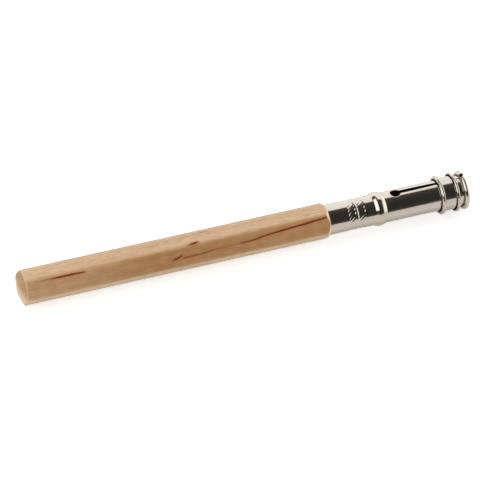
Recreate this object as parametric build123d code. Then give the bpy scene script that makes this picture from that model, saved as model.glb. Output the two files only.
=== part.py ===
from build123d import *
import os
from math import cos, degrees, radians, sin, tan

# Pencil extender: a hexagonal wooden handle, a ferrule of pressed sheet crimped on its tenon,
# and a clamp ring that slides on the ferrule's slotted front.
# The axis of the whole object is X. It is drawn with the handle's shoulder at x = 0 and the
# pencil's mouth at the front, towards +X, and is set on its surface at the end.

# Ferrule: one tube of plated sheet
tube_diameter = 8.6
tube_wall = 0.3
seat_gap = 0.02

# Wooden handle, whose flats stand proud of the tube
flat_overhang = 0.4
edge_round = 2.2
handle_length = 89.8
butt_round = 1.4
shoulder_turning = 1.1
shoulder_step = 0.06
tenon_past_crimps = 1.7
tenon_chamfer = 0.5
tenon_clearance = 0.03

# Two serrated crimp bands that hold the tenon
crimp_start = 5.4
crimp_width = 2.6
crimp_ridge = 0.35
crimp_depth = 0.12
crimp_slope = 0.25
serrations = 24
serration_slant = 40.0
serration_depth = 0.1
serration_margin = 0.02
serration_sections = 3

# Rolled bead that stops the ring at the back
bead_from_crimps = 2.9
bead_width = 2.6
bead_height = 0.5

# Slotted front: two jaws with a rolled lip, whose slits are turned a little from the handle's flats
relief_from_bead = 5.45
relief_diameter = 2.7
jaw_length = 20.6
slit_root_width = 1.1
slit_mouth_width = 0.5
slit_turn = -6.5
lip_roll = 1.45
lip_notch = 1.0

# Clamp ring, a short sleeve with rolled ends
ring_wall = 0.3
ring_clearance = 0.1
ring_length = 5.4
ring_roll = 1.1
ring_to_lip = 1.3

# Flats round a rolled edge, and the turn that lays two of them along the axis
roll_flats = 12
roll_turn = 180 / roll_flats

tube_radius = tube_diameter / 2
bore_radius = tube_radius - tube_wall
flat_radius = tube_radius + flat_overhang
crimp_starts = [crimp_start, crimp_start + crimp_width + crimp_ridge]
crimps_end = crimp_starts[-1] + crimp_width
bead_centre = crimps_end + bead_from_crimps + bead_width / 2
relief_centre = bead_centre + relief_from_bead
ferrule_length = relief_centre + jaw_length
lip_radius = bore_radius + lip_roll
ring_bore = tube_radius + ring_clearance
ring_radius = ring_bore + ring_roll


def half_section(corners):
    """Face in the half plane through the axis, from its corners as (along, radius)."""
    return make_face(Polyline(*corners, close=True))


def rolled_edge(middle, inner, roll):
    """Edge of a sheet rolled outwards, in section: as thick as the roll, from an inner radius."""
    flats = RegularPolygon(roll / 2, roll_flats, major_radius=False)
    return Pos(middle, inner + roll / 2) * Rot(Z=roll_turn) * flats


def crimp_line(radius):
    """Corners of the two crimp bands, drawn inwards from a radius."""
    floor = radius - crimp_depth
    corners = []
    for start in crimp_starts:
        end = start + crimp_width
        corners += [(start, radius), (start + crimp_slope, floor)]
        corners += [(end - crimp_slope, floor), (end, radius)]
    return corners


def make_handle():
    """Hexagonal stick with a sanded butt, a turned shoulder and a grooved tenon."""
    corner_radius = flat_radius / cos(radians(30))
    hexagon = RegularPolygon(flat_radius, 6, major_radius=False)
    hexagon = fillet(hexagon.vertices(), edge_round)
    stick = extrude(Plane.YZ * hexagon, -handle_length)
    stick = fillet(stick.faces().sort_by(Axis.X)[0].edges(), butt_round)

    butt = -handle_length
    arc_start = (-shoulder_turning, corner_radius)
    arc_end = (0, tube_radius + shoulder_step)
    outline = [
        Polyline(arc_end, (0, 0), (butt, 0), (butt, corner_radius), arc_start),
        TangentArc(arc_start, arc_end, tangent=(1, 0)),
    ]
    turned = revolve(make_face(outline), Axis.X)

    tenon_radius = bore_radius - tenon_clearance
    tenon_end = crimps_end + tenon_past_crimps
    tenon_line = [(0, 0), (0, tenon_radius)] + crimp_line(tenon_radius)
    tenon_line += [(tenon_end - tenon_chamfer, tenon_radius)]
    tenon_line += [(tenon_end, tenon_radius - tenon_chamfer), (tenon_end, 0)]
    tenon = revolve(half_section(tenon_line), Axis.X)
    return (stick & turned) + tenon


def bead_section():
    """Bead pressed outwards from the inside: the added metal and the hollow behind it."""
    rear = bead_centre - bead_width / 2
    front = bead_centre + bead_width / 2
    crest = ThreePointArc((rear, tube_radius), (bead_centre, tube_radius + bead_height), (front, tube_radius))
    bead = make_face([crest, Line((front, tube_radius), (rear, tube_radius))])
    hollow = half_section([(rear, bore_radius), (bead_centre, bore_radius + bead_height), (front, bore_radius)])
    return bead, hollow


def star_outline(along, turn):
    """Section of a serrated band across the axis, turned about it."""
    tip = tube_radius - crimp_depth - serration_margin
    corners = []
    for step in range(2 * serrations):
        radius = tip - serration_depth * (step % 2)
        angle = radians(180 * step / serrations + turn)
        corners.append((along, radius * cos(angle), radius * sin(angle)))
    return corners


def serrated_bar(start, end):
    """Bar with slanted serrations, in flat facets between star sections along it."""
    stars = []
    for step in range(serration_sections):
        travel = (end - start) * step / (serration_sections - 1)
        lead = degrees(travel * tan(radians(serration_slant)) / tube_radius)
        stars.append(star_outline(start + travel, -lead))
    faces = [Face(Wire.make_polygon(stars[0])), Face(Wire.make_polygon(stars[-1]))]
    for rear, front in zip(stars, stars[1:]):
        for step in range(len(rear)):
            faces.append(Face(Wire.make_polygon([rear[step - 1], rear[step], front[step]])))
            faces.append(Face(Wire.make_polygon([rear[step - 1], front[step], front[step - 1]])))
    return Solid(Shell(faces))


def serration_cuts():
    """What the rolling tool presses out of the floor of each crimp band."""
    floor = tube_radius - crimp_depth
    cuts = []
    for crimp in crimp_starts:
        start = crimp + crimp_slope
        end = crimp + crimp_width - crimp_slope
        middle = Pos((start + end) / 2, 0, 0) * Rot(Y=90)
        blank = middle * Cylinder(floor + serration_margin, end - start)
        cuts.append(blank - serrated_bar(start, end))
    return cuts


def make_tube():
    """The whole ferrule before its slits: crimps, bead and rolled lip in one pressed tube."""
    lip_middle = ferrule_length - lip_roll / 2
    outside = [(seat_gap, tube_radius)] + crimp_line(tube_radius) + [(lip_middle, tube_radius)]
    inside = [(seat_gap, bore_radius)] + crimp_line(bore_radius) + [(lip_middle, bore_radius)]
    bead, bead_hollow = bead_section()
    section = half_section(outside + inside[::-1]) + bead - bead_hollow
    section += rolled_edge(lip_middle, bore_radius, lip_roll)
    return revolve(section, Axis.X) - serration_cuts()


def slit_tool():
    """Two opposite slits, their round relief holes and their notches in the lip, as one cutter."""
    past_lip = ferrule_length + lip_roll
    taper = (slit_root_width - slit_mouth_width) / jaw_length
    root = slit_root_width / 2
    mouth = root - taper * (past_lip - relief_centre) / 2
    corners = [(relief_centre, -root), (past_lip, -mouth), (past_lip, mouth), (relief_centre, root)]
    slit = extrude(make_face(Polyline(*corners, close=True)), 2 * lip_radius, both=True)
    relief = Pos(relief_centre, 0, 0) * Cylinder(relief_diameter / 2, 4 * lip_radius)
    notch = Pos(ferrule_length, 0, 0) * Box(2 * lip_roll, lip_notch, 4 * lip_radius)
    return Rot(X=slit_turn) * (slit + relief + notch)


def make_ferrule_and_jaws():
    """The slotted tube, parted at the relief holes where its two jaws bend."""
    slotted = make_tube() - slit_tool()
    root_plane = Plane(origin=(relief_centre, 0, 0), z_dir=(1, 0, 0))
    ferrule = split(slotted, root_plane, keep=Keep.BOTTOM)
    jaws = split(slotted, root_plane, keep=Keep.TOP).solids().sort_by(Axis.Y)
    return ferrule, jaws[0], jaws[1]


def make_clamp_ring():
    """Short sleeve with both ends rolled outwards, at rest just behind the lip."""
    front = ferrule_length - lip_roll - ring_to_lip - ring_roll / 2
    rear = front + ring_roll - ring_length
    sleeve = ring_bore + ring_wall
    section = half_section([(rear, ring_bore), (front, ring_bore), (front, sleeve), (rear, sleeve)])
    section += rolled_edge(rear, ring_bore, ring_roll) + rolled_edge(front, ring_bore, ring_roll)
    return revolve(section, Axis.X)


ferrule, jaw_right, jaw_left = make_ferrule_and_jaws()
pieces = {
    "handle": make_handle(),
    "ferrule": ferrule,
    "jaw_right": jaw_right,
    "jaw_left": jaw_left,
    "clamp_ring": make_clamp_ring(),
}

# The object lies on its widest rings, with the middle of its length at the origin
lying_height = max(ring_radius, lip_radius, flat_radius)
middle = (ferrule_length - handle_length) / 2
os.makedirs("parts", exist_ok=True)
for name, piece in pieces.items():
    export_step(Pos(-middle, 0, lying_height) * piece, f"parts/{name}.step")
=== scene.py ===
import math
from functools import partial

import bmesh
import bpy
import numpy as np
from mathutils import Matrix, Vector


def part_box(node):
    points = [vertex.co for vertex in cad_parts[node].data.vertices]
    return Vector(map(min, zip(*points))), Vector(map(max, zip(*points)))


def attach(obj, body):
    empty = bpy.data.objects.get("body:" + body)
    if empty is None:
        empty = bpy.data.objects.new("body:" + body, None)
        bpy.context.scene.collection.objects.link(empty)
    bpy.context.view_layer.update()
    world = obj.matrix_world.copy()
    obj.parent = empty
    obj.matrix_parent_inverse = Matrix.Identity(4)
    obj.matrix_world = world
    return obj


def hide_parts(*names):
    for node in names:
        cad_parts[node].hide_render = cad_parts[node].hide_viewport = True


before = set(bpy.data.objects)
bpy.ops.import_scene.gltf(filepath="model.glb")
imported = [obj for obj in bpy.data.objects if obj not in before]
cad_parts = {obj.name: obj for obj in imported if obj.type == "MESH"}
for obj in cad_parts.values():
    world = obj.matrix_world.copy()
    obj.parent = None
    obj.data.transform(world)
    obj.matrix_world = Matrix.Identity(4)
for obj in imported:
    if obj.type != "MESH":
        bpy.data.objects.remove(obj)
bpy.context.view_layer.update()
mm = 0.001

# Places in the frame, in millimetres along the axis, which runs along X
handleLow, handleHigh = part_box("handle")
ferruleLow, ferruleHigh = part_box("ferrule")
ringLow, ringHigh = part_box("clamp_ring")
axisHeight = (ringLow.z + ringHigh.z) / 2 / mm
buttX = handleLow.x / mm
seatX = ferruleLow.x / mm
seatGap = 0.02  # between the wood's shoulder and the ferrule
shoulderX = seatX - seatGap
rootX = ferruleHigh.x / mm  # middle of the relief holes, where the jaws bend
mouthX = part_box("jaw_right")[1].x / mm
places = {"butt": buttX, "seat": seatX, "root": rootX, "mouth": mouthX}
print("frame:", {name: round(x, 2) for name, x in places.items()})

# Values that all pieces share
mergeDistance = 1e-8  # metres within which two corners are one
sharpAngle = 38.0  # degrees past which an edge stays sharp
smooth = {"interpolation_type": "SMOOTHSTEP"}  # lets a Map Range node ease in and out
mixA, mixB, mixOut = 6, 7, 2  # a Mix node's sockets for colours


def smoothStep(low, high, value):
    t = np.clip((value - low) / (high - low), 0, 1)
    return t * t * (3 - 2 * t)


def softMin(a, b, blend):  # the smaller of two radii, with the crease between them sanded round
    h = np.clip(0.5 + (b - a) / (2 * blend), 0, 1)
    return b * (1 - h) + a * h - blend * h * (1 - h)


def linearColour(code):  # sRGB hex to the linear values that shaders take
    parts = [int(code[i:i + 2], 16) / 255 for i in (0, 2, 4)]
    return tuple(c / 12.92 if c <= 0.04045 else ((c + 0.055) / 1.055) ** 2.4 for c in parts) + (1.0,)


# Inputs go by name or in order, and each is a value or a socket
def addNode(tree, kind, inputs=(), out=0, **settings):
    node = tree.nodes.new(kind)
    for key, value in settings.items():
        setattr(node, key, value)
    for key, value in inputs.items() if isinstance(inputs, dict) else enumerate(inputs):
        if isinstance(value, bpy.types.NodeSocket):
            tree.links.new(value, node.inputs[key])
        else:
            node.inputs[key].default_value = value
    return node.outputs if out is None else node.outputs[out]


def solidObject(name, points, faces, dullPaintedShade=None):  # points in millimetres, and for each corner of each face how dull it is and how dark its painted shade
    mesh = bpy.data.meshes.new(name)
    mesh.from_pydata((np.asarray(points) * mm).tolist(), [], faces)
    if dullPaintedShade is not None:
        mesh.attributes.new("dullPaintedShade", "FLOAT", "CORNER").data.foreach_set("value", dullPaintedShade)
    work = bmesh.new()
    work.from_mesh(mesh)
    bmesh.ops.remove_doubles(work, verts=work.verts, dist=mergeDistance)
    bmesh.ops.recalc_face_normals(work, faces=work.faces)
    work.to_mesh(mesh)
    work.free()
    mesh.shade_smooth()
    mesh.set_sharp_from_angle(angle=math.radians(sharpAngle))
    obj = bpy.data.objects.new(name, mesh)
    bpy.context.scene.collection.objects.link(obj)
    return obj


# Alder handle: a hexagon with sanded edges, a low domed butt with a worn corner, a turned shoulder,
# and a tenon inside the ferrule. Lengths in millimetres, angles in degrees round the axis from +Y.
handleSpec = {
    "flatRadius": 4.7,
    "edgeRound": 2.2,
    "buttRound": 1.1,
    "buttDome": 0.5,
    "buttWear": {"depth": 1.5, "angle": 55.0, "spread": 40.0},
    "buttSharp": {"share": 0.55, "angle": 320.0, "spread": 50.0},
    "shoulderLength": 1.5,
    "shoulderRadius": 4.5,
    "creaseBlend": 0.06,
    "tenonRadius": 3.85,
    "tenonChamfer": 0.5,
    "tenonCore": 0.5,  # radius of the last row on the tenon's end
    "columns": 240,
    "rows": {"end": 12, "edge": 20, "side": 64, "shoulder": 26},
    "rowGap": 0.4,
    "endShares": (0.08, 0.96),  # shares of the rim where the rows of the butt's end lie
}


def hexRadius(angle, inset):  # polar radius of the rounded hexagon, with edges at +Y and every 60 degrees
    flat = handleSpec["flatRadius"] - inset
    fillet = handleSpec["edgeRound"] - inset
    turn = np.abs((angle + math.pi / 6) % (math.pi / 3) - math.pi / 6)
    centre = (flat - fillet) / math.cos(math.pi / 6)
    tangent = np.arctan2(fillet * 0.5, centre + fillet * math.cos(math.pi / 6))
    onArc = centre * np.cos(turn) + np.sqrt(np.maximum(fillet**2 - (centre * np.sin(turn)) ** 2, 0))
    return np.where(turn < tangent, onArc, flat / np.cos(math.pi / 6 - turn))


def sideShare(angle, place):  # 1 at the place's angle, falling to 0 on either side
    away = (np.degrees(angle) - place["angle"] + 180) % 360 - 180
    return np.exp(-((away / place["spread"]) ** 2))


def makeHandle():
    spec = handleSpec
    angle = np.linspace(0, 2 * math.pi, spec["columns"], endpoint=False)
    hexagon = hexRadius(angle, 0)
    dome, worn, sharp = spec["buttDome"], spec["buttWear"], spec["buttSharp"]
    wear = worn["depth"] * sideShare(angle, worn)
    edge = spec["buttRound"] * (1 - sharp["share"] * sideShare(angle, sharp))
    rim = hexRadius(angle, edge) - wear
    count, rowGap = spec["rows"], spec["rowGap"]
    ends = np.linspace(*spec["endShares"], count["end"])
    rows = [(dome * share**2, rim * share) for share in ends]  # each is along from the butt, and radii
    for t in np.linspace(0, math.pi / 2, count["edge"]):
        side = hexRadius(angle, edge * (1 - math.sin(t))) - wear * (1 - math.sin(t)) ** 2
        rows.append((dome * math.cos(t) + edge * (1 - math.cos(t)), side))
    turning, low = spec["shoulderLength"], spec["shoulderRadius"]
    length = shoulderX - buttX
    sides = np.linspace(edge.max() + rowGap, length - turning - rowGap, count["side"])
    rows += [(along, hexagon) for along in sides]
    corner = hexagon.max() + spec["creaseBlend"]
    drop = corner - low
    curve = (turning**2 + drop**2) / (2 * drop)
    for t in np.linspace(0, math.asin(turning / curve), count["shoulder"]):
        turned = corner - curve + curve * math.cos(t)
        rows.append((length - turning + curve * math.sin(t), softMin(hexagon, turned, spec["creaseBlend"])))
    tenon, chamfer, tip = spec["tenonRadius"], spec["tenonChamfer"], handleHigh.x / mm - buttX
    line = [(length, tenon), (tip - chamfer, tenon), (tip, tenon - chamfer), (tip, spec["tenonCore"])]
    for along, radius in line:
        rows.append((along, np.full_like(angle, radius)))
    x = np.concatenate([np.broadcast_to(row[0], angle.shape) for row in rows])
    y = np.concatenate([row[1] * np.cos(angle) for row in rows])
    z = np.concatenate([row[1] * np.sin(angle) for row in rows])
    x, y, z = np.append(x, (0, tip)), np.append(y, (0, 0)), np.append(z, (0, 0))
    points = np.stack([x + buttX, y, z + axisHeight], 1)
    n = spec["columns"]
    last = (len(rows) - 1) * n
    faces = []
    for j in range(n):
        k = (j + 1) % n
        faces += [(i * n + j, i * n + k, i * n + n + k, i * n + n + j) for i in range(len(rows) - 1)]
        faces += [(len(points) - 2, k, j), (len(points) - 1, last + j, last + k)]
    return solidObject("wooden_handle", points, faces)


handle = makeHandle()
print("handle:", len(handle.data.polygons), "faces")


# Sheet pieces: a line along the middle of the sheet, turned about the axis and given the sheet's thickness.
# Each station is along, radius, half the thickness, and how dull and darkened by painted shade the outside
# and the inside are.
sheetSpec = {
    "wall": 0.3,
    "curlWall": 0.2,
    "slitTurn": -6.5,
    "thinned": 60.0,  # degrees of a curl over which the sheet gets thinner
    "hollow": (15.0, 50.0),  # degrees of a curl over which its hollow side turns dull, with painted shade
    "unshaded": (-25.0, 10.0),  # degrees about a curl's shade over which its other side leaves the painted shade and turns bright
    "edgeCrowding": 0.5,  # how far the columns crowd towards a cut
}
sheetWall = sheetSpec["wall"]
rightSide = math.radians(90 + sheetSpec["slitTurn"])
leftSide = math.radians(270 + sheetSpec["slitTurn"])


# A plain tube: bright outside, dull inside with painted shade
def tubeStations(x, r):
    return np.array([x, r, np.full_like(x, sheetWall / 2), np.zeros_like(x), np.ones_like(x)])


def curlStations(middleX, boreRadius, curl, towards):  # the sheet's end rolled outwards
    roll, curlWall = curl["roll"], sheetSpec["curlWall"]
    t = np.linspace(0, math.radians(curl["sweep"]), curl["rows"])
    thin = smoothStep(0, math.radians(sheetSpec["thinned"]), t)
    half = (sheetWall + (curlWall - sheetWall) * thin) / 2
    bend = roll / 2 - half
    toEnd = (t[-1] - t) * bend[-1]
    half = half * np.sqrt(1 - np.clip(1 - toEnd / (curlWall / 2), 0, 1) ** 2)
    # The hollow side takes painted shade, and so does the outer side near the bore, up to the curl's shade
    hollow = smoothStep(*(math.radians(edge) for edge in sheetSpec["hollow"]), t)
    unshaded = smoothStep(*(math.radians(curl["shade"] + edge) for edge in sheetSpec["unshaded"]), t)
    x = middleX + towards * bend * np.sin(t)
    r = boreRadius + roll / 2 - bend * np.cos(t)
    return np.array([x, r, half, hollow, 1 - unshaded])


def sheetShell(name, stations, cutHalf, sides, columns, edgeDrop=None):
    x, r, half, dullPaintedShadeOut, dullPaintedShadeIn = stations
    slope = np.hypot(np.gradient(x), np.gradient(r))
    normalX, normalR = -np.gradient(r) / slope, np.gradient(x) / slope
    t = np.linspace(0, 1, columns + 1)
    crowding = sheetSpec["edgeCrowding"] if cutHalf.max() > 0 else 0
    spread = t - crowding * np.sin(2 * math.pi * t) / (2 * math.pi)
    points, faces, dullPaintedShade = [], [], []
    rows, wide = len(x), columns + 1
    for start in sides:
        first = len(points)
        for skin in (1, -1):
            for k in range(rows):
                radius = r[k] + skin * half[k] * normalR[k]
                along = x[k] + skin * half[k] * normalX[k]
                gap = math.asin(min(cutHalf[k] / radius, 1))
                swing = gap + (math.pi - 2 * gap) * spread
                ring = np.full(wide, radius)
                if edgeDrop:
                    ring = ring - edgeDrop(along, radius * np.minimum(swing, math.pi - swing), cutHalf[k])
                for a, b in zip(start + swing, ring):
                    points.append((along, b * math.cos(a), axisHeight + b * math.sin(a)))
        inner = first + rows * wide
        for k in range(rows - 1):
            for j in range(columns):
                a, b = first + k * wide + j, inner + k * wide + j
                faces.append((a, a + 1, a + wide + 1, a + wide))
                dullPaintedShade += [dullPaintedShadeOut[k], dullPaintedShadeOut[k], dullPaintedShadeOut[k + 1], dullPaintedShadeOut[k + 1]]
                faces.append((b, b + wide, b + wide + 1, b + 1))
                dullPaintedShade += [dullPaintedShadeIn[k], dullPaintedShadeIn[k + 1], dullPaintedShadeIn[k + 1], dullPaintedShadeIn[k]]
            # The cut faces of slits, holes and notches are dull, with painted shade
            if cutHalf[k] > 0 or cutHalf[k + 1] > 0:
                for j in (0, columns):
                    a, b = first + k * wide + j, inner + k * wide + j
                    faces.append((a, a + wide, b + wide, b))
                    dullPaintedShade += [1.0] * 4
        # The sheet's end faces are dull, with painted shade
        for k in (0, rows - 1):
            if half[k] > 0:
                for j in range(columns):
                    a, b = first + k * wide + j, inner + k * wide + j
                    faces.append((a, a + 1, b + 1, b))
                    dullPaintedShade += [1.0] * 4
    return solidObject(name, points, faces, dullPaintedShade)


# Ferrule: the sleeve with two crimp bands and a bead, as far as the middle of the relief holes.
# Places along it are measured from the wood's shoulder, and the bead's is its crest.
ferruleSpec = {
    "tubeRadius": 4.3,
    "crimpStarts": (5.4, 8.22),
    "crimpWidth": 2.72,
    "crimpSlopes": ((1.45, 0.6), (0.35, 0.65)),
    "crimpDepth": 0.1,
    "beadCrest": 14.9,
    "beadRear": 1.4,
    "beadFront": 2.0,
    "beadPowers": (0.85, 0.42),  # fullness behind the crest and in front of it
    "beadHeight": 0.5,
    "reliefRadius": 1.48,
    "columns": 160,
    "rows": {"sleeve": 12, "crimp": 30, "neck": 5, "bead": 44, "tube": 4, "rim": 8, "hole": 18},
    "rowGap": 0.1,
    "rimWidth": 0.5,  # close rows just behind the relief holes
    "holeStart": 1e-6,  # past the rim of a relief hole, where its cut starts
}

# Jaws: the slotted front, which ends in a rolled and notched lip
jawSpec = {
    "rootGap": 0.008,
    "slitAtRoot": 1.25,
    "slitAtLip": 0.25,
    # the lip's shade: degrees from the bore over which its outer side keeps the painted shade
    "lip": {"roll": 1.45, "sweep": 285, "shade": 40, "rows": 60},
    "notch": 1.2,
    "notchRear": 0.2,
    "notchOpens": (0.0, 30.0),  # degrees of the lip's curl
    "notchCloses": (230.0, 250.0),
    "punchWidth": 0.2,
    "punchDepth": 0.05,
    "slitRollWidth": 0.08,
    "slitRollDepth": 0.015,
    "columns": 160,
    "rows": {"hole": 16, "straight": 48},
    "rowGaps": (0.25, 0.1),  # in front of the relief hole and behind the lip
}


def tubeLine(x):  # radius of the sheet's middle along the ferrule, x from the shoulder
    spec = ferruleSpec
    radius = np.full_like(x, spec["tubeRadius"] - sheetWall / 2)
    for start, (rear, front) in zip(spec["crimpStarts"], spec["crimpSlopes"]):
        end = start + spec["crimpWidth"]
        pressed = smoothStep(start, start + rear, x) - smoothStep(end - front, end, x)
        radius -= spec["crimpDepth"] * pressed
    past = x - spec["beadCrest"]
    t = np.clip(past / np.where(past < 0, spec["beadRear"], spec["beadFront"]), -1, 1)
    power = np.where(past < 0, *spec["beadPowers"])
    return radius + spec["beadHeight"] * (0.5 + 0.5 * np.cos(math.pi * t)) ** power


def punchedEdge(along, arc, cut):  # the sheet sinks a little round the punched holes and along the slits
    spec = jawSpec
    hole = np.hypot(along - rootX, arc) - ferruleSpec["reliefRadius"]
    drop = spec["punchDepth"] * np.clip(1 - np.maximum(hole, 0) / spec["punchWidth"], 0, 1) ** 2
    if along > rootX:
        slit = np.clip(1 - np.maximum(arc - cut, 0) / spec["slitRollWidth"], 0, 1)
        drop = np.maximum(drop, spec["slitRollDepth"] * slit**2)
    return drop


def makeFerrule():
    spec = ferruleSpec
    count, gap, hole = spec["rows"], spec["rowGap"], spec["reliefRadius"]
    root = rootX - shoulderX
    rim, rimStart = root - hole, root - hole - spec["rimWidth"]
    crimps = [(start, start + spec["crimpWidth"]) for start in spec["crimpStarts"]]
    beadStart, beadEnd = spec["beadCrest"] - spec["beadRear"], spec["beadCrest"] + spec["beadFront"]
    stretches = [
        (seatGap, crimps[0][0] - gap / 2, count["sleeve"]),
        (*crimps[0], count["crimp"]),
        (*crimps[1], count["crimp"]),
        (crimps[1][1] + gap, beadStart - gap, count["neck"]),
        (beadStart, beadEnd, count["bead"]),
        (beadEnd + 2 * gap, rimStart - gap, count["tube"]),
        (rimStart, rim, count["rim"]),
    ]
    x = np.concatenate([np.linspace(*stretch) for stretch in stretches])
    x = np.concatenate([x, root - hole * np.cos(np.linspace(0, math.pi / 2, count["hole"]))[1:]])
    cut = np.sqrt(np.maximum(hole**2 - (x - root) ** 2, 0)) * (x > rim + spec["holeStart"])
    stations = tubeStations(x + shoulderX, tubeLine(x))
    return sheetShell("ferrule_sleeve", stations, cut, (rightSide, leftSide), spec["columns"], punchedEdge)


def makeJaw(name, side):
    spec, lip = jawSpec, jawSpec["lip"]
    hole = ferruleSpec["reliefRadius"]
    middle = ferruleSpec["tubeRadius"] - sheetWall / 2
    curlX = mouthX - lip["roll"] / 2
    slitStart = math.sqrt(hole**2 - (spec["slitAtRoot"] / 2) ** 2)
    turns = (math.asin(spec["rootGap"] / hole), math.asin(slitStart / hole))
    holeX = hole * np.sin(np.linspace(*turns, spec["rows"]["hole"]))
    rear, front = slitStart + spec["rowGaps"][0], curlX - rootX - spec["rowGaps"][1]
    straight = np.concatenate([holeX, np.linspace(rear, front, spec["rows"]["straight"])])
    bent = (straight / (mouthX - rootX)) ** 2  # the jaws bend together towards the lip
    slit = (spec["slitAtRoot"] - (spec["slitAtRoot"] - spec["slitAtLip"]) * bent) / 2
    tube = tubeStations(straight + rootX, np.full_like(straight, middle))
    curl = curlStations(curlX, middle - sheetWall / 2, lip, 1)
    t = np.linspace(0, lip["sweep"], lip["rows"])
    narrow = (spec["notch"] - spec["notchRear"]) / 2 * smoothStep(*spec["notchCloses"], t)
    notch = slit[-1] + (spec["notch"] / 2 - slit[-1]) * smoothStep(*spec["notchOpens"], t) - narrow
    cut = np.concatenate([np.maximum(slit, np.sqrt(np.maximum(hole**2 - straight**2, 0))), notch])
    return sheetShell(name, np.hstack([tube, curl]), cut, (side,), spec["columns"], punchedEdge)


# Clamp ring: a short sleeve with both ends rolled outwards
ringSpec = {
    "clearance": 0.1,
    # the curl's shade: degrees from the bore over which its outer side keeps the painted shade
    "curl": {"roll": 1.095, "sweep": 240, "shade": 80, "rows": 50},
    "columns": 128,
    "sleeveRows": 18,
}


def makeClampRing():
    spec, curl = ringSpec, ringSpec["curl"]
    bore = ferruleSpec["tubeRadius"] + spec["clearance"]
    rear, front = ringLow.x / mm + curl["roll"] / 2, ringHigh.x / mm - curl["roll"] / 2
    rearCurl = curlStations(rear, bore, curl, -1)[:, ::-1]
    frontCurl = curlStations(front, bore, curl, 1)
    sleeve = np.linspace(rear, front, spec["sleeveRows"])[1:-1]
    sleeve = tubeStations(sleeve, np.full_like(sleeve, bore + sheetWall / 2))
    stations = np.hstack([rearCurl, sleeve, frontCurl])
    uncut = np.zeros(stations.shape[1])
    return sheetShell("sliding_ring", stations, uncut, (rightSide, leftSide), spec["columns"])


ferrule = makeFerrule()
jawRight = makeJaw("clamping_jaw_right", rightSide)
jawLeft = makeJaw("clamping_jaw_left", leftSide)
ring = makeClampRing()
print("sheet pieces:", [len(o.data.polygons) for o in (ferrule, jawRight, jawLeft, ring)], "faces")


# Serrations rolled into the crimp bands
serrationSpec = {
    "count": 24,
    "slant": 40.0,
    "depth": 0.065,
    "margin": 0.4,
    "grooveShare": 0.9,
}


def serrationTree():
    tree = bpy.data.node_groups.new("rolledSerrations", "GeometryNodeTree")
    face = tree.interface
    face.new_socket("Geometry", in_out="INPUT", socket_type="NodeSocketGeometry")
    sizes = ["Count", "Lead", "Depth", "Axis Height", "Skin Radius", "Ridge"]
    sizes += ["Band Middle", "Band Half", "Fade", "Groove Share"]
    for name in sizes:
        face.new_socket(name, in_out="INPUT", socket_type="NodeSocketFloat")
    face.new_socket("Material", in_out="INPUT", socket_type="NodeSocketMaterial")
    face.new_socket("Geometry", in_out="OUTPUT", socket_type="NodeSocketGeometry")
    add = partial(addNode, tree)
    given = add("NodeGroupInput", out=None)
    place = add("ShaderNodeSeparateXYZ", [add("GeometryNodeInputPosition")], out=None)
    lift = add("ShaderNodeMath", (place["Z"], given["Axis Height"]), operation="SUBTRACT")
    outward = add("ShaderNodeCombineXYZ", (0.0, place["Y"], lift))
    radius = add("ShaderNodeVectorMath", [outward], out="Value", operation="LENGTH")

    # A wave round the tube that leads forwards, smoothed to grooves
    angle = add("ShaderNodeMath", (lift, place["Y"]), operation="ARCTAN2")
    turn = add("ShaderNodeMath", (place["X"], given["Lead"], angle), operation="MULTIPLY_ADD")
    rate = add("ShaderNodeMath", (given["Count"], 2 * math.pi), operation="DIVIDE")
    wave = add("ShaderNodeMath", (turn, rate), operation="MULTIPLY")
    wave = add("ShaderNodeMath", (wave, 0.5), operation="PINGPONG")
    land = add("ShaderNodeMath", (given["Groove Share"], -0.5, 0.5), operation="MULTIPLY_ADD")
    groove = add("ShaderNodeMapRange", (wave, land, 0.5), **smooth)

    # Both bands lie alike on either side of the ridge
    away = add("ShaderNodeMath", (place["X"], given["Ridge"]), operation="SUBTRACT")
    away = add("ShaderNodeMath", [away], operation="ABSOLUTE")
    away = add("ShaderNodeMath", (away, given["Band Middle"]), operation="SUBTRACT")
    away = add("ShaderNodeMath", [away], operation="ABSOLUTE")
    inner = add("ShaderNodeMath", (given["Band Half"], given["Fade"]), operation="SUBTRACT")
    window = add("ShaderNodeMapRange", (away, inner, given["Band Half"], 1.0, 0.0), **smooth)

    press = add("ShaderNodeMath", (groove, window), operation="MULTIPLY")
    press = add("ShaderNodeMath", (press, given["Depth"]), operation="MULTIPLY")
    inwards = add("ShaderNodeVectorMath", [outward], operation="NORMALIZE")
    inwards = add("ShaderNodeVectorMath", (inwards, (-1.0, -1.0, -1.0)), operation="MULTIPLY")
    offset = add("ShaderNodeVectorMath", {0: inwards, "Scale": press}, operation="SCALE")
    skin = add("ShaderNodeMath", (radius, given["Skin Radius"]), operation="GREATER_THAN")
    moved = {"Geometry": given["Geometry"], "Selection": skin, "Offset": offset}
    moved = add("GeometryNodeSetPosition", moved)
    real = add("GeometryNodeRealizeInstances", [moved])
    dressed = add("GeometryNodeSetMaterial", {"Geometry": real, "Material": given["Material"]})
    add("NodeGroupOutput", {"Geometry": dressed}, out=None)
    return tree


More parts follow.
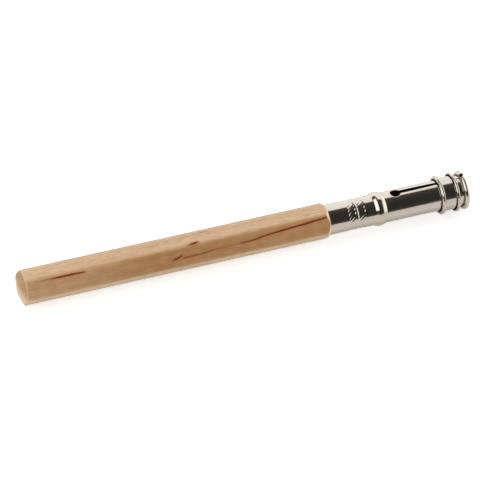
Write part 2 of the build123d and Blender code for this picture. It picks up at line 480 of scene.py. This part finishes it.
def rollSerrations(obj, material):
    spec, tube = serrationSpec, ferruleSpec
    rear, front = (shoulderX + start + tube["crimpWidth"] / 2 for start in tube["crimpStarts"])
    values = {
        "Count": float(spec["count"]),
        "Lead": math.tan(math.radians(spec["slant"])) / (tube["tubeRadius"] * mm),
        "Depth": spec["depth"] * mm,
        "Axis Height": axisHeight * mm,
        "Skin Radius": (tube["tubeRadius"] - tube["crimpDepth"] - sheetWall / 2) * mm,
        "Ridge": (rear + front) / 2 * mm,
        "Band Middle": (front - rear) / 2 * mm,
        "Band Half": (tube["crimpWidth"] / 2 - spec["margin"] / 2) * mm,
        "Fade": spec["margin"] * mm,
        "Groove Share": spec["grooveShare"],
        "Material": material,
    }
    modifier = obj.modifiers.new("serrations", "NODES")
    modifier.node_group = serrationTree()
    for item in modifier.node_group.interface.items_tree:
        if item.in_out == "INPUT" and item.name in values:
            modifier[item.identifier] = values[item.name]
    bpy.context.view_layer.update()
    mesh = bpy.data.meshes.new_from_object(obj.evaluated_get(bpy.context.evaluated_depsgraph_get()))
    obj.modifiers.remove(modifier)
    obj.data = mesh


# Bright nickel plate on pressed sheet: a warm white mirror outside, dull inside the tube and the rolls and
# on the cut edges, with a dark painted shade there. The lines of the drawing die are wider than real ones,
# so that they show.
nickelSpec = {
    "colour": "d8cec0",
    # the painted shade inside the tube, in the hollows of the rolls and on the cut edges
    "inside": "45362b",
    "roughLow": 0.1,
    "roughHigh": 0.18,
    "insideRough": 0.5,
    "lineLength": 9.0,
    "lineWidth": 0.4,
    "lineDetail": 3.0,
    "lineRange": (0.3, 0.7),  # of the pattern, from the smoothest lines to the roughest
    "lineBump": 0.003,
    "waveSize": 3.5,
    "waveDetail": 1.0,
    "waveBump": 0.0012,
}


def nickelPlate():
    spec = nickelSpec
    material = bpy.data.materials.new("bright_nickel_plate")
    material.use_nodes = True
    tree = material.node_tree
    tree.nodes.clear()
    add = partial(addNode, tree)
    place = add("ShaderNodeTexCoord", out="Object")
    along, across = 1 / (spec["lineLength"] * mm), 1 / (spec["lineWidth"] * mm)
    lines = add("ShaderNodeMapping", {"Vector": place, "Scale": (along, across, across)})
    drawn = add("ShaderNodeTexNoise", {"Vector": lines, "Scale": 1.0, "Detail": spec["lineDetail"]})
    # Where the sheet is dull and darkened by painted shade
    inside = add("ShaderNodeAttribute", out="Fac", attribute_name="dullPaintedShade")
    rough = add("ShaderNodeMapRange", (drawn, *spec["lineRange"], spec["roughLow"], spec["roughHigh"]))
    rough = add("ShaderNodeMapRange", (inside, 0.0, 1.0, rough, spec["insideRough"]))
    colours = {"Factor": inside, mixA: linearColour(spec["colour"]), mixB: linearColour(spec["inside"])}
    colour = add("ShaderNodeMix", colours, out=mixOut, data_type="RGBA")
    waves = {"Vector": place, "Scale": 1 / (spec["waveSize"] * mm), "Detail": spec["waveDetail"]}
    waves = add("ShaderNodeTexNoise", waves)
    bump = add("ShaderNodeBump", {"Height": waves, "Strength": 1.0, "Distance": spec["waveBump"] * mm})
    bump = add("ShaderNodeBump", {
        "Height": drawn, "Strength": 1.0, "Distance": spec["lineBump"] * mm, "Normal": bump,
    })
    shader = add("ShaderNodeBsdfPrincipled", {
        "Base Color": colour, "Metallic": 1.0, "Roughness": rough, "Normal": bump,
    })
    add("ShaderNodeOutputMaterial", {"Surface": shader}, out=None)
    return material


# Sanded alder under thin wax: pale tan with fine fibre lines and soft mottling, a darker face of heartwood
# with painted shade, a paler face below it of sapwood with painted bounce light, reddish gum streaks, tan
# end grain, and painted highlights on the butt's rim and the shoulder
alderSpec = {
    "pale": "d1b591",
    "deep": "c5a580",
    "rosy": "ca9f7c",
    "light": "dbc7a9",
    # darker face: heartwood tone with painted shade
    "heartAndPaintedShade": "a07345",
    # paler lower face: sapwood tone with painted light bounced from the table
    "sapAndPaintedBounce": "ecd9bb",
    "fibre": "9e7349",
    "glint": "c29e75",
    "pore": "855934",
    "streak": "642806",
    "halo": "b5683a",
    "endGrain": "ac7b4a",
    "endPale": "e6c99d",
    # the butt's rim: a painted highlight on its rounded edge
    "rim": "d3b996",
    # a painted highlight on the shoulder's turned face
    "paintedShoulderHighlight": "f3e3cd",
    "roughness": (0.42, 0.5),
    "roughRange": (0.3, 0.7),  # of the fibre pattern, from the smoothest wood to the roughest
    "gloss": 0.3,
    "fibreBump": 0.012,
    # Patterns of the grain: millimetres along and across the handle, detail and a fixed place in the noise.
    # The fibres are wider than real ones, so that they show.
    "grain": {
        "tone": (70.0, 4.0, 2.0, 3.1),
        "mottle": (3.5, 1.2, 2.0, 6.6),
        "fleck": (2.2, 0.5, 2.0, 8.2),
        "faceEdge": (25.0, 3.0, 2.0, 2.2),
        "fibre": (12.0, 0.28, 4.0, 7.7),
        "pore": (2.2, 0.4, 3.0, 1.3),
        "wobble": (4.0, 2.0, 3.0, 5.0),
        "ring": (1.0, 0.5, 3.0, 4.4),
    },
    # Layers under and over those of the faces: shade, pattern, the pattern's range and the greatest share
    "under": [
        ("deep", "tone", 0.35, 0.65, 1.0),
        ("rosy", "mottle", 0.4, 0.65, 0.7),
        ("light", "fleck", 0.5, 0.72, 0.4),
    ],
    "over": [
        ("fibre", "fibre", 0.45, 0.75, 0.35),
        ("glint", "mottle", 0.58, 0.36, 0.22),
        ("pore", "pore", 0.48, 0.7, 0.22),
    ],
    # Faces with a tone of their own, wood with painted light and shade: degrees that one leans up from -Y,
    # and its range out from the axis as shares of flatRadius
    "faces": {"heartAndPaintedShade": (30.0, 0.84, 1.06), "sapAndPaintedBounce": (-30.0, 0.97, 1.08)},
    "faceWander": 0.12,
    # share of the paler lower face, sapwood and painted bounce light
    "sapAndBounceTone": 0.55,
    # Share of heartwood and painted shade along the darker face: millimetres behind the shoulder and
    # strength
    "heartAndShadeTone": [(0.0, 0.88), (20.0, 0.86), (40.0, 0.94), (56.0, 0.9), (70.0, 0.66), (89.0, 0.56)],
    # Gum streaks: points as millimetres behind the shoulder, degrees round the axis from +Y, and strength
    "streaks": [
        {
            "width": 0.34,
            "line": [
                (0.6, 124.5, 0.8), (5.0, 128.0, 1.0), (11.0, 131.5, 1.0), (18.0, 137.0, 0.95),
                (25.0, 145.0, 0.8), (28.5, 146.3, 0.3), (34.0, 148.0, 0.35), (37.5, 151.0, 0.6),
                (43.6, 153.4, 0.65),
            ],
        },
        {"width": 0.4, "line": [(43.6, 143.0, 0.3), (45.2, 149.0, 1.0), (46.8, 154.5, 0.5)]},
        {"width": 0.42, "line": [(38.4, 111.6, 0.5), (39.4, 112.6, 1.0), (41.4, 114.6, 0.5)]},
        {"width": 0.35, "line": [(34.6, 75.6, 0.2), (36.0, 74.4, 0.28), (37.6, 73.0, 0.2)]},
        {
            "width": 0.3,
            "line": [
                (72.0, 126.2, 0.85), (74.5, 125.2, 0.95), (79.0, 124.9, 1.0), (82.5, 124.6, 0.5),
                (86.5, 122.8, 0.15),
            ],
        },
    ],
    # Parts of a streak: inner and outer edge in widths of the streak, and share
    "streakParts": {"halo": (0.0, 4.0, 0.4), "streak": (0.35, 1.0, 1.0)},
    "streakEnds": (0.7, 0.5),  # millimetres past an end and within it over which a streak fades
    "streakWobble": 0.22,  # millimetres to either side
    "streakMargin": 1.0,  # degrees to spare beside a streak's line
    # By how far the wood faces along X: where each shade starts, where it is full, and its share there
    "ends": {"rim": (-0.15, -0.5, 0.5), "endGrain": (-0.7, -0.93, 1.0), "paintedShoulderHighlight": (0.2, 0.42, 0.9)},
    "endRings": (0.3, 0.7, 0.75, 1.0),  # the pattern's range and the shares of end grain
    "endPaleFrom": (2.0, -2.0),  # millimetres above the axis
    "endPaleShare": 0.9,
}


def setCurve(curve, spots):  # puts a float curve's points at the spots, both ways from 0 to 1
    points = curve.node.mapping.curves[0].points
    points[0].location, points[1].location = spots[0], spots[-1]
    for spot in spots[1:-1]:
        points.new(*spot)
    curve.node.mapping.update()


def alderWood():
    spec = alderSpec
    length = shoulderX - buttX
    material = bpy.data.materials.new("waxed_alder")
    material.use_nodes = True
    tree = material.node_tree
    tree.nodes.clear()
    add = partial(addNode, tree)
    coordinates = add("ShaderNodeTexCoord", out=None)
    place = coordinates["Object"]
    grain = {}
    for name, (along, across, detail, seed) in spec["grain"].items():
        scale = (1 / (along * mm), 1 / (across * mm), 1 / (across * mm))
        scaled = add("ShaderNodeMapping", {"Vector": place, "Location": (seed, seed, seed), "Scale": scale})
        grain[name] = add("ShaderNodeTexNoise", {"Vector": scaled, "Scale": 1.0, "Detail": detail})

    # Where a point is: millimetres behind the shoulder, and degrees round the axis from +Y
    centred = add("ShaderNodeVectorMath", (place, (0.0, 0.0, axisHeight * mm)), operation="SUBTRACT")
    axes = add("ShaderNodeSeparateXYZ", [centred], out=None)
    behind = add("ShaderNodeMapRange", (axes["X"], shoulderX * mm, buttX * mm, 0.0, length), clamp=False)
    angle = add("ShaderNodeMath", (axes["Z"], axes["Y"]), operation="ARCTAN2")
    angle = add("ShaderNodeMath", (angle, 2 * math.pi, 0.0), operation="WRAP")
    turn = add("ShaderNodeMath", (angle, 180 / math.pi), operation="MULTIPLY")

    # Layers of colour, from the first to the last: a shade and its share
    layers = []
    for shade, pattern, low, high, most in spec["under"]:
        layers.append((shade, add("ShaderNodeMapRange", (grain[pattern], low, high, 0.0, most))))
    along = add("ShaderNodeMath", (behind, length), operation="DIVIDE")
    tone = add("ShaderNodeFloatCurve", {"Value": along})
    setCurve(tone, [(x / length, share) for x, share in spec["heartAndShadeTone"]])
    tones = {"heartAndPaintedShade": tone, "sapAndPaintedBounce": spec["sapAndBounceTone"]}
    flat = handleSpec["flatRadius"] * mm
    # The face turned to the front takes heartwood and painted shade, the face below it sapwood and painted
    # bounce light
    for shade, (climb, low, high) in spec["faces"].items():
        lean = math.radians(climb)
        face = (0.0, -math.cos(lean) / flat, math.sin(lean) / flat)
        near = add("ShaderNodeVectorMath", (centred, face), out="Value", operation="DOT_PRODUCT")
        near = (grain["faceEdge"], spec["faceWander"], near)
        near = add("ShaderNodeMath", near, operation="MULTIPLY_ADD")
        layers.append((shade, add("ShaderNodeMapRange", (near, low, high, 0.0, tones[shade]), **smooth)))
    for shade, pattern, low, high, most in spec["over"]:
        layers.append((shade, add("ShaderNodeMapRange", (grain[pattern], low, high, 0.0, most))))

    degree = handleSpec["flatRadius"] * math.pi / 180  # millimetres of wood in one degree
    wobble = (grain["wobble"], 0.0, 1.0, -spec["streakWobble"], spec["streakWobble"])
    wobble = add("ShaderNodeMapRange", wobble)
    past, within = spec["streakEnds"]
    for streak in spec["streaks"]:
        line = streak["line"]
        start, end = line[0][0], line[-1][0]
        low = min(p[1] for p in line) - spec["streakMargin"]
        high = max(p[1] for p in line) + spec["streakMargin"]
        share = add("ShaderNodeMapRange", (behind, start, end))
        middle = add("ShaderNodeFloatCurve", {"Value": share})
        setCurve(middle, [((p[0] - start) / (end - start), (p[1] - low) / (high - low)) for p in line])
        strength = add("ShaderNodeFloatCurve", {"Value": share})
        setCurve(strength, [((p[0] - start) / (end - start), p[2]) for p in line])
        middle = add("ShaderNodeMapRange", (middle, 0.0, 1.0, low, high))
        away = add("ShaderNodeMath", (turn, middle), operation="SUBTRACT")
        away = add("ShaderNodeMath", (away, degree, wobble), operation="MULTIPLY_ADD")
        away = add("ShaderNodeMath", [away], operation="ABSOLUTE")
        rise = add("ShaderNodeMapRange", (behind, start - past, start + within), **smooth)
        fall = add("ShaderNodeMapRange", (behind, end - within, end + past, 1.0, 0.0), **smooth)
        present = add("ShaderNodeMath", (rise, fall), operation="MULTIPLY")
        present = add("ShaderNodeMath", (present, strength), operation="MULTIPLY")
        for shade, (inner, outer, most) in spec["streakParts"].items():
            reach = (away, inner * streak["width"], outer * streak["width"], most, 0.0)
            core = add("ShaderNodeMapRange", reach, **smooth)
            layers.append((shade, add("ShaderNodeMath", (core, present), operation="MULTIPLY")))

    # The butt's rim, lightened as a painted highlight on its rounded edge, its end grain, paler below, and
    # a painted highlight on the shoulder's turned face
    facing = add("ShaderNodeSeparateXYZ", [coordinates["Normal"]], out="X")
    ends = {}
    for shade, (starts, full, most) in spec["ends"].items():
        ends[shade] = add("ShaderNodeMapRange", (facing, starts, full, 0.0, most), **smooth)
    rings = add("ShaderNodeMapRange", (grain["ring"], *spec["endRings"]))
    endGrain = add("ShaderNodeMath", (ends["endGrain"], rings), operation="MULTIPLY")
    high, low = spec["endPaleFrom"]
    below = (axes["Z"], high * mm, low * mm, 0.0, spec["endPaleShare"])
    below = add("ShaderNodeMapRange", below, **smooth)
    endPale = add("ShaderNodeMath", (endGrain, below), operation="MULTIPLY")
    layers += [("rim", ends["rim"]), ("endGrain", endGrain), ("endPale", endPale)]
    # the painted highlight on the shoulder
    layers.append(("paintedShoulderHighlight", ends["paintedShoulderHighlight"]))

    colour = linearColour(spec["pale"])
    for shade, share in layers:
        sides = {"Factor": share, mixA: colour, mixB: linearColour(spec[shade])}
        colour = add("ShaderNodeMix", sides, out=mixOut, data_type="RGBA")
    rough = add("ShaderNodeMapRange", (grain["fibre"], *spec["roughRange"], *spec["roughness"]))
    bump = {"Height": grain["fibre"], "Strength": 1.0, "Distance": spec["fibreBump"] * mm}
    bump = add("ShaderNodeBump", bump)
    shader = add("ShaderNodeBsdfPrincipled", {
        "Base Color": colour, "Roughness": rough, "Specular IOR Level": spec["gloss"], "Normal": bump,
    })
    add("ShaderNodeOutputMaterial", {"Surface": shader}, out=None)
    return material


nickel = nickelPlate()
alder = alderWood()
rollSerrations(ferrule, nickel)
for piece in (jawRight, jawLeft, ring):
    piece.data.materials.append(nickel)
handle.data.materials.append(alder)
print("materials:", nickel.name, alder.name)

riders = [
    (handle, "holder", "handle", "handle_wood"),
    (ferrule, "holder", "ferrule", "nickel_plate"),
    (jawRight, "right_jaw", "jaw_right", "nickel_plate"),
    (jawLeft, "left_jaw", "jaw_left", "nickel_plate"),
    (ring, "ring", "clamp_ring", "nickel_plate"),
]
for piece, body, node, slot in riders:
    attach(piece, body)
    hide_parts(node)

# Studio: a pale table, a white sweep behind, softboxes on the left and right, and a dark room that is warm
# overhead. A direction is given by its climb, in degrees from the back over the top, and its share along X.
# The sweep and the room have pairs of climb and strength, and a box has the ranges over which it fades.
studioSpec = {
    "sweep": {"foot": (4.0, 1.36), "above": (26.0, 1.18)},
    "sweepColour": "fafcff",
    "roomColour": "ffe2cb",
    "sweepTop": {"left": (-0.417, 20.0), "right": (0.29, 69.5), "soft": 2.0},  # share along X, and climb
    "room": {
        "top": (70.0, 0.078),
        "front": (118.0, 0.036),
        "low": (160.0, 0.036),
        "horizon": (180.0, 0.08),
    },
    "leftBox": {"side": (-0.38, -0.24), "top": (52.0, 60.0), "bottom": (143.0, 153.0), "strength": 1.6},
    "rightBox": {"side": (0.63, 0.73), "strength": 1.4},
    "table": "dddcd9",
    "tableGlow": 0.6,
    "glowFade": {"front": (-20.0, 0.0), "near": (-6.0, 0.28)},  # millimetres along Y, share in reflections
    "tableSize": 4.0,  # metres, as the lamps' places and sizes are
    "topLamp": {"place": (-0.2, 0.6, 1.0), "size": 0.8, "power": 6.4},
    "fillLamp": {"place": (-0.4, -1.6, 0.35), "size": 1.2, "power": 15.0},
}


def whiteTable():
    spec = studioSpec
    material = bpy.data.materials.new("white_paper")
    material.use_nodes = True
    tree = material.node_tree
    tree.nodes.clear()
    add = partial(addNode, tree)
    seen = add("ShaderNodeLightPath", out=None)
    place = add("ShaderNodeTexCoord", out="Object")
    across = add("ShaderNodeSeparateXYZ", [place], out="Y")
    (front, dim), (near, bright) = spec["glowFade"]["front"], spec["glowFade"]["near"]
    reach = (across, front * mm, near * mm, dim, bright)
    fade = add("ShaderNodeMapRange", reach, **smooth)
    mirrored = (seen["Is Glossy Ray"], seen["Is Transmission Ray"])
    mirrored = add("ShaderNodeMath", mirrored, operation="MAXIMUM")
    mirrored = add("ShaderNodeMath", (mirrored, fade), operation="MULTIPLY")
    shown = add("ShaderNodeMath", (seen["Is Camera Ray"], mirrored), operation="MAXIMUM")
    glow = add("ShaderNodeMath", (shown, spec["tableGlow"]), operation="MULTIPLY")
    paper = add("ShaderNodeBsdfDiffuse", {"Color": linearColour(spec["table"])})
    light = add("ShaderNodeEmission", {"Strength": glow})
    both = add("ShaderNodeAddShader", (paper, light))
    add("ShaderNodeOutputMaterial", {"Surface": both}, out=None)
    half = spec["tableSize"] / 2
    mesh = bpy.data.meshes.new("table")
    corners = [(-half, -half, 0), (half, -half, 0), (half, half, 0), (-half, half, 0)]
    mesh.from_pydata(corners, [], [(0, 1, 2, 3)])
    mesh.materials.append(material)
    table = bpy.data.objects.new("table", mesh)
    bpy.context.scene.collection.objects.link(table)


def studioLamp(name):  # soft light on wood and table, left out of the metal's reflections
    spec = studioSpec[name]
    data = bpy.data.lights.new(name, "AREA")
    data.size = spec["size"]
    data.energy = spec["power"]
    lamp = bpy.data.objects.new(name, data)
    lamp.location = spec["place"]
    lamp.rotation_euler = Vector(spec["place"]).to_track_quat("Z", "Y").to_euler()
    lamp.visible_glossy = False
    bpy.context.scene.collection.objects.link(lamp)


def studioWorld():
    spec = studioSpec
    world = bpy.data.worlds.new("studio")
    bpy.context.scene.world = world
    world.use_nodes = True
    tree = world.node_tree
    tree.nodes.clear()
    add = partial(addNode, tree)
    axes = add("ShaderNodeSeparateXYZ", [add("ShaderNodeTexCoord", out="Generated")], out=None)
    angle = add("ShaderNodeMath", (axes["Z"], axes["Y"]), operation="ARCTAN2")
    climb = add("ShaderNodeMath", (angle, 180 / math.pi), operation="MULTIPLY")

    # The white sweep, whose upper edge rises to the right
    top = spec["sweepTop"]
    edge = (axes["X"], top["left"][0], top["right"][0], top["left"][1], top["right"][1])
    edge = add("ShaderNodeMapRange", edge)
    past = add("ShaderNodeMath", (climb, edge), operation="SUBTRACT")
    foot, above = spec["sweep"]["foot"], spec["sweep"]["above"]
    white = (climb, foot[0], above[0], foot[1], above[1])
    white = add("ShaderNodeMapRange", white, **smooth)
    sweep = (past, -top["soft"], top["soft"], white, 0.0)
    sweep = add("ShaderNodeMapRange", sweep, **smooth)

    # The two softboxes
    left = spec["leftBox"]
    side = (axes["X"], *left["side"], left["strength"], 0.0)
    side = add("ShaderNodeMapRange", side, **smooth)
    upper = add("ShaderNodeMapRange", (climb, *left["top"], 0.0, 1.0), **smooth)
    lower = add("ShaderNodeMapRange", (climb, *left["bottom"], 1.0, 0.0), **smooth)
    box = add("ShaderNodeMath", (side, upper), operation="MULTIPLY")
    box = add("ShaderNodeMath", (box, lower), operation="MULTIPLY")
    right = (axes["X"], *spec["rightBox"]["side"], 0.0, spec["rightBox"]["strength"])
    right = add("ShaderNodeMapRange", right, **smooth)

    # The dark room, a little lighter overhead and at the horizon
    room = spec["room"]
    shade = (climb, room["top"][0], room["front"][0], room["top"][1], room["front"][1])
    shade = add("ShaderNodeMapRange", shade, **smooth)
    horizon = (climb, room["low"][0], room["horizon"][0], room["low"][1], room["horizon"][1])
    horizon = add("ShaderNodeMapRange", horizon, **smooth)
    dark = add("ShaderNodeMath", (shade, horizon), operation="MAXIMUM")

    # The brightest of them shows, warm only where the room shows overhead
    bright = add("ShaderNodeMath", (sweep, box), operation="MAXIMUM")
    bright = add("ShaderNodeMath", (bright, right), operation="MAXIMUM")
    strength = add("ShaderNodeMath", (bright, dark), operation="MAXIMUM")
    cool = add("ShaderNodeMapRange", (climb, room["top"][0], room["front"][0]), **smooth)
    cool = add("ShaderNodeMath", (cool, bright), operation="MAXIMUM", use_clamp=True)
    warmTint, coolTint = linearColour(spec["roomColour"]), linearColour(spec["sweepColour"])
    colours = {"Factor": cool, mixA: warmTint, mixB: coolTint}
    colour = add("ShaderNodeMix", colours, out=mixOut, data_type="RGBA")
    light = add("ShaderNodeBackground", {"Color": colour, "Strength": strength})
    add("ShaderNodeOutputWorld", {"Surface": light}, out=None)


whiteTable()
studioLamp("topLamp")
studioLamp("fillLamp")
studioWorld()

# Camera at the photograph's angle, for a 500 by 500 image: angles in degrees, lengths in metres
cameraSpec = {
    "azimuth": -24.6,
    "elevation": 45.3,
    "roll": 5.42,
    "distance": 2.2,
    "fieldWidth": 0.13769,
    "aimRight": 0.001887,
    "aimUp": -0.003163,
}


def photoCamera():
    spec = cameraSpec
    a, e, roll = (math.radians(spec[k]) for k in ("azimuth", "elevation", "roll"))
    back = np.array([math.sin(a) * math.cos(e), -math.cos(a) * math.cos(e), math.sin(e)])
    level = np.array([math.cos(a), math.sin(a), 0.0])
    rise = np.cross(back, level)
    right = level * math.cos(roll) + rise * math.sin(roll)
    up = rise * math.cos(roll) - level * math.sin(roll)
    aim = np.array([0, 0, axisHeight * mm]) + right * spec["aimRight"] + up * spec["aimUp"]
    data = bpy.data.cameras.new("photo_camera")
    data.lens = data.sensor_width * spec["distance"] / spec["fieldWidth"]
    camera = bpy.data.objects.new("photo_camera", data)
    bpy.context.scene.collection.objects.link(camera)
    eye = aim + back * spec["distance"]
    camera.matrix_world = Matrix([[right[i], up[i], back[i], eye[i]] for i in range(3)] + [[0, 0, 0, 1]])
    bpy.context.scene.camera = camera


photoCamera()
bpy.context.scene.view_settings.view_transform = "Standard"
print("stage: table, lamps, world and camera")
